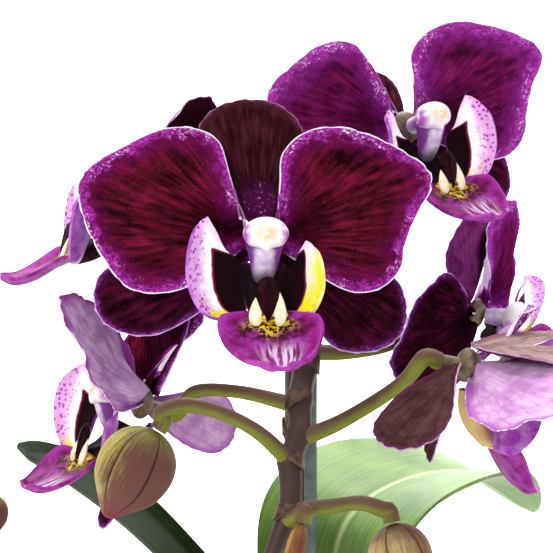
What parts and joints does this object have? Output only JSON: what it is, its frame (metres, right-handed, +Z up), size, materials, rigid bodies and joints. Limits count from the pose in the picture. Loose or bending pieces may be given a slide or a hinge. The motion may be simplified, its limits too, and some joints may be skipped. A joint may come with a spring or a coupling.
{
  "type": "potted moth orchid",
  "caption": "Potted moth orchid: an arching spike of open blooms and buds over a rosette of strap leaves, in a plain round pot of bark mix.",
  "frame": {"origin": "middle of the pot's underside", "axes": "+Z up the plant, -Y towards the side that most blooms face, +X to the viewer's right"},
  "size_m": [0.186, 0.1424, 0.2434],
  "materials": {
    "pot": "smooth off-white glaze",
    "bark": "rough brown bark chips",
    "root": "dull grey-green living root and stem",
    "cane": "dark grey-green coating",
    "leaf": "thick green leaf with a soft sheen",
    "spike": "living grey-brown stem, green towards the stalks",
    "bud": "olive and mauve bud with dark seams",
    "tepal": "near-black burgundy petal with a magenta margin and pale back",
    "column": "waxy white with a lilac tint",
    "lip": "waxy magenta, white and yellow"
  },
  "bodies": {
    "root": {"pot": "pot", "mix": "bark", "crown": "root", "cane": "cane", "leaf_1": "leaf", "leaf_2": "leaf", "leaf_3": "leaf", "leaf_4": "leaf", "leaf_5": "leaf", "leaf_6": "leaf", "spike_main": "spike", "spike_side": "spike", "bud_left": "bud", "bud_right": "bud", "bud_shoot": "bud", "bud_tip": "bud", "bud_side": "bud", "bud_side_tip": "bud", "bloom_a_tepals": "tepal", "bloom_a_column": "column", "bloom_a_lip": "lip", "bloom_b_tepals": "tepal", "bloom_b_column": "column", "bloom_b_lip": "lip", "bloom_c_tepals": "tepal", "bloom_c_column": "column", "bloom_c_lip": "lip", "bloom_d_tepals": "tepal", "bloom_d_column": "column", "bloom_d_lip": "lip", "bloom_e_tepals": "tepal", "bloom_e_column": "column", "bloom_e_lip": "lip", "bloom_f_tepals": "tepal", "bloom_f_column": "column", "bloom_f_lip": "lip"}
  },
  "joints": []
}
